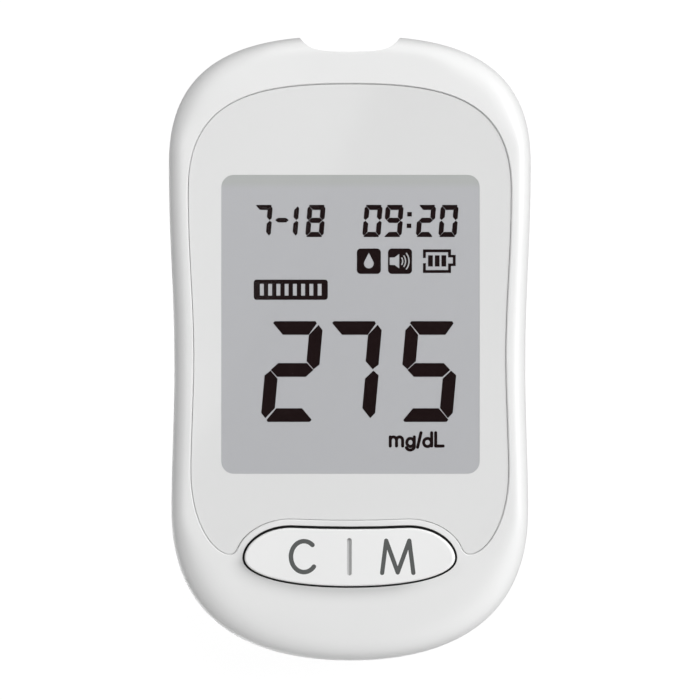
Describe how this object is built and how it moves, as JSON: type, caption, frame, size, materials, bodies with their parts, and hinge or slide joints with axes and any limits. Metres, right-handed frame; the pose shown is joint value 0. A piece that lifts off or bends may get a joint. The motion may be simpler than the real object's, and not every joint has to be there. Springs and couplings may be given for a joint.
{
  "type": "blood glucose meter",
  "caption": "Handheld blood glucose meter with a waisted case, a flush display lens, a rocking two-way key, a strip port notch and a sliding battery door.",
  "frame": {"origin": "on the resting plane, below the middle of the case", "axes": "+Z out of the display, +Y towards the test strip port along the length, +X to the user's right"},
  "size_m": [0.0558, 0.096, 0.0215],
  "materials": {
    "white_shell": "moulded white ABS, satin gloss",
    "clear_lens": "clear acrylic, printed pale grey behind, open over the display",
    "black_tape": "thin double-sided tape",
    "key_plastic": "moulded white ABS with engraved grey marks",
    "silicone": "translucent silicone rubber",
    "carbon_rubber": "conductive rubber",
    "polariser": "grey polarising film",
    "display_glass": "two bonded plates of thin glass",
    "reflector": "pearl grey reflecting film",
    "holder_plastic": "moulded white plastic",
    "board_green": "solder mask over glass fibre board",
    "chip_black": "black moulding compound",
    "chip_ceramic": "small ceramic chips",
    "plated_steel": "nickel plated sheet steel",
    "port_plastic": "black moulded plastic",
    "gold_contact": "gold plated spring contacts",
    "cell_sleeve": "plain printed sleeve on a steel can",
    "spring_steel": "nickel plated spring wire",
    "screw_steel": "zinc plated screws"
  },
  "bodies": {
    "case": {"front_cover": "white_shell", "rear_cover": "white_shell", "display_lens": "clear_lens", "lens_tape": "black_tape", "key_mat": "silicone", "carbon_pills": "carbon_rubber", "front_polariser": "polariser", "lcd_glass": "display_glass", "rear_reflector": "reflector", "lcd_holder": "holder_plastic", "elastic_connector": "carbon_rubber", "main_board": "board_green", "microcontroller": "chip_black", "chip_parts": "chip_ceramic", "quartz_crystal": "plated_steel", "radio_module": "board_green", "radio_shield": "plated_steel", "buzzer": "chip_black", "strip_port": "port_plastic", "strip_contacts": "gold_contact", "battery_left": "cell_sleeve", "battery_right": "cell_sleeve", "battery_springs": "spring_steel", "positive_plate": "plated_steel", "negative_plate": "plated_steel", "bridge_plate": "plated_steel", "case_screws": "screw_steel", "board_screws": "screw_steel"},
    "key": {"key_cap": "key_plastic"},
    "door": {"battery_door": "white_shell"}
  },
  "joints": [
    {"name": "key_rock", "type": "hinge", "parent": "case", "child": "key", "pos_m": [0, -0.0321, 0.01715], "axis": [0, 1, 0], "range_deg": [-2.6, 2.6], "stiffness_Nm_per_rad": 0.25, "deforming": ["key_mat"]},
    {"name": "door_slide", "type": "slide", "parent": "case", "child": "door", "axis": [0, -1, 0], "range_m": [0, 0.062]}
  ]
}
